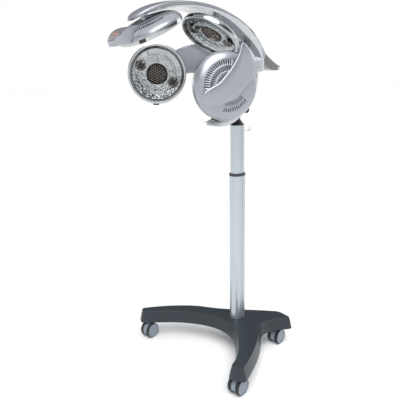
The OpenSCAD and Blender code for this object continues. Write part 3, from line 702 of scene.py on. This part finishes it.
def circle(x, y, r, n=32):
    """Points round a full circle."""
    return [(x + r * math.cos(2 * math.pi * k / n), y + r * math.sin(2 * math.pi * k / n)) for k in range(n)]


def wing_fittings(side, node, i, heading, reach):
    """The hinge barrel of a side wing, and the two ears and the post that carry its head."""
    tag = node.split("_")[0]
    plate(circle(side * HINGE_X, HINGE_Y, BARREL_R), HINGE_Z, HINGE_Z + HINGE_H, tag + "_barrel", node)
    x0 = side * (HINGE_X + 6) - 4
    plate([(x0, 47), (x0 + 10, 47), (x0 + 10, 61), (x0, 61)], HINGE_Z + 0.5, HINGE_Z + HINGE_H - 0.5,
          tag + "_barrel_web", node)
    p = head_matrix(i) @ Vector((0, 0, (HEAD_H + PIVOT_UP[i]) * MM)) / MM
    turn = math.radians(heading)
    local = [(reach, -8), (reach, 8)] + [(8 * math.cos(a), 8 * math.sin(a))
                                         for a in np.linspace(math.pi / 2, 3 * math.pi / 2, 17)]
    outline = [(p.x + x * math.cos(turn) - y * math.sin(turn), p.y + x * math.sin(turn) + y * math.cos(turn))
               for x, y in local]
    for k, z in enumerate((-17.5, 12.5)):
        plate(outline, p.z + z, p.z + z + 5, f"{tag}_ear_{k}", node)
    plate(circle(p.x, p.y, 4), p.z - 13.5, p.z + 13.5, tag + "_post", node, "bright_steel", 0.3)


NEAR_OUTLINE = sweep([
    [(-160, 1240), (-160, 1275), (-118, 1272), (-92, 1300)],
    [(-92, 1300), (-62, 1334), (-22, 1372), (-14, 1437)],
    [(-14, 1437), (6, 1424), (24, 1404), (34, 1383)], (34, 1383), (140, 1383), (140, 1330), (47, 1330),
    [(46, 1316), (20, 1296), (-20, 1240), (-60, 1225)],
    [(-60, 1225), (-100, 1206), (-160, 1200), (-160, 1240)]])
FAR_OUTLINE = sweep([
    (0, 1325), (0, 1385), [(30, 1420), (80, 1470), (160, 1476), (250, 1446)],
    [(250, 1446), (320, 1420), (360, 1340), (400, 1320)],
    [(400, 1320), (450, 1312), (450, 1262), (400, 1262)],
    [(400, 1262), (340, 1262), (300, 1330), (200, 1330)]])
# The near wing's outline is drawn as the picture's camera sees it, the far wing's along the wing itself
VIEW_TURN = math.radians(50)
wing_skin("near_wing_skin", "near_wing", [(62, 52), (165, -30), (400, -132), (256, -430)],
          lambda q: q[0] * math.cos(VIEW_TURN) + q[1] * math.sin(VIEW_TURN), NEAR_OUTLINE, 5.0)
FAR_ROOT = np.array([-62.0, 54.0])
FAR_DIR = np.array([-219.9, -294.5]) / math.hypot(219.9, 294.5)
far_ends = [tuple(FAR_ROOT + FAR_DIR * d) for d in (445, 296, 148, 0)]
wing_skin("far_wing_skin", "far_wing", far_ends[::-1],
          lambda q: float((q - FAR_ROOT) @ FAR_DIR), FAR_OUTLINE, -0.01)
wing_fittings(1, "near_wing", 3, -20, 20)
wing_fittings(-1, "far_wing", 2, 144.9, 11)

# Nodes that keep the CAD's shape: width and segments of the eased edges, and the angle from which they are
REFINE = {
    "base_cover": (2.6, 4, 30), "base_frame": (0.8, 2, 35), "lower_tube": (0.5, 2, 35),
    "column_collar": (1.0, 3, 35), "upper_tube": (0.5, 2, 35), "accessory_hook": (0.9, 3, 25),
    "tilt_socket": (0.8, 3, 25), "tilt_knob": (1.2, 3, 30),
    "hinge_pins": (0.4, 2, 35), "inner_cover": (0.8, 2, 40), "wing_liner": (1.6, 3, 40),
    "control_nose": (2.4, 4, 40),
    "display_window": (0.6, 2, 35), "plus_key": (0.8, 3, 35), "minus_key": (0.8, 3, 35),
}
for node, (w, seg, ang) in REFINE.items():
    if node == "wing_liner":
        # the liner's front is silver, and its tail behind the column is painted dark as painted shade
        refined(node, w, seg, ang, paint=lambda c, n: 1 if c.y < -0.405 else (2 if c.y > 0.125 else 0),
                mats=["light_plastic", "silver_plastic", "painted_shade_plastic"])
    else:
        refined(node, w, seg, ang)

WHEEL_Z, HUB_EDGE = 0.0375, 0.0302
for leg in ("left", "front", "right"):
    refined(leg + "_caster_fork", 1.2, 3, 35)
    for side in "ab":
        node = f"{leg}_caster_wheel_{side}"
        # the tyre is the outer band of the wheel; the hub disc is grey
        lo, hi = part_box(node)
        mid = (lo + hi) / 2
        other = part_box(f"{leg}_caster_wheel_{'b' if side == 'a' else 'a'}")
        axis = (mid - (other[0] + other[1]) / 2).normalized()
        axis.z = 0
        axis.normalize()

        def hub(c, n, mid=mid, axis=axis):
            d = c - Vector((mid.x, mid.y, WHEEL_Z))
            return 1 if (d - axis * d.dot(axis)).length < HUB_EDGE else 0

        refined(node, 1.0, 3, 30, paint=hub, mats=["tyre_rubber", "caster_grey"])

# ---------------------------------------------------------------- stage


LIGHT_AIM = Vector((0, -0.15, 1.0))
CAMERA_AT = Vector((1.6552, -1.6210, 1.319))
CAMERA_TURNS = (50, 14, 1.05)


def stage():
    """The floor, the studio world and the lights."""
    mesh = bpy.data.meshes.new("floor")
    s = 60.0
    mesh.from_pydata([(-s, -s, 0), (s, -s, 0), (s, s, 0), (-s, s, 0)], [], [(0, 1, 2, 3)])
    floor = bpy.data.objects.new("floor", mesh)
    bpy.context.scene.collection.objects.link(floor)
    mesh.materials.append(material("pale_floor", (0.93, 0.93, 0.93), 0.0, 0.7, spread=0.05, bump=0.1,
                                   tint=0.01))
    world = bpy.data.worlds.new("studio")
    bpy.context.scene.world = world
    world.use_nodes = True
    nt = world.node_tree
    coords = nt.nodes.new("ShaderNodeTexCoord")
    split = nt.nodes.new("ShaderNodeSeparateXYZ")
    ramp = nt.nodes.new("ShaderNodeValToRGB")
    nt.links.new(coords.outputs["Generated"], split.inputs["Vector"])
    shift = nt.nodes.new("ShaderNodeMapRange")
    shift.inputs["From Min"].default_value = -1
    nt.links.new(split.outputs["Z"], shift.inputs["Value"])
    nt.links.new(shift.outputs["Result"], ramp.inputs["Fac"])
    els = ramp.color_ramp.elements
    els[0].position, els[0].color = 0.40, (0.72, 0.72, 0.72, 1)
    els[1].position, els[1].color = 1.0, (0.85, 0.86, 0.88, 1)
    for pos, v in ((0.49, 1.0), (0.575, 1.0), (0.62, 0.20), (0.74, 0.10), (0.80, 0.12), (0.88, 0.9)):
        e = els.new(pos)
        e.color = (v, v, v * 1.02, 1)
    # the dark band is only for reflections: what is seen directly is plain white
    seen = nt.nodes.new("ShaderNodeLightPath")
    pick = nt.nodes.new("ShaderNodeMix")
    pick.data_type = "RGBA"
    pick.inputs["B"].default_value = (1, 1, 1, 1)
    nt.links.new(seen.outputs["Is Camera Ray"], pick.inputs["Factor"])
    nt.links.new(ramp.outputs["Color"], pick.inputs["A"])
    nt.links.new(pick.outputs["Result"], nt.nodes["Background"].inputs["Color"])
    nt.nodes["Background"].inputs["Strength"].default_value = 1.0
    sun = bpy.data.lights.new("daylight", "SUN")
    sun.energy = 2.1
    sun.angle = math.radians(50)
    high = bpy.data.objects.new("daylight", sun)
    high.rotation_euler = (math.radians(28), math.radians(12), math.radians(40))
    bpy.context.scene.collection.objects.link(high)
    for name, at, size, power in (("key", (2.4, -2.6, 3.2), 1.6, 30), ("fill", (-3.0, -1.8, 2.4), 2.2, 16),
                                  ("rim", (0.4, 3.2, 2.8), 2.0, 22)):
        light = bpy.data.lights.new(name, "AREA")
        light.energy = power
        light.size = size
        ob = bpy.data.objects.new(name, light)
        ob.location = at
        ob.rotation_euler = (LIGHT_AIM - Vector(at)).to_track_quat("-Z", "Y").to_euler()
        bpy.context.scene.collection.objects.link(ob)


def camera():
    """The picture's own camera, from its azimuth, its fall and its roll."""
    az, down, roll = (math.radians(v) for v in CAMERA_TURNS)
    ahead = Vector((-math.sin(az) * math.cos(down), math.cos(az) * math.cos(down), -math.sin(down)))
    right = Vector((math.cos(az), math.sin(az), 0))
    up = right.cross(ahead)
    r2 = right * math.cos(roll) - up * math.sin(roll)
    u2 = right * math.sin(roll) + up * math.cos(roll)
    data = bpy.data.cameras.new("camera")
    data.lens = 45.0
    data.sensor_width = 36.0
    cam = bpy.data.objects.new("camera", data)
    m = Matrix((r2, u2, -ahead)).transposed().to_4x4()
    m.translation = CAMERA_AT
    cam.matrix_world = m
    bpy.context.scene.collection.objects.link(cam)
    bpy.context.scene.camera = cam


stage()
camera()
bpy.context.scene.view_settings.view_transform = "Standard"
bpy.context.scene.view_settings.look = "None"
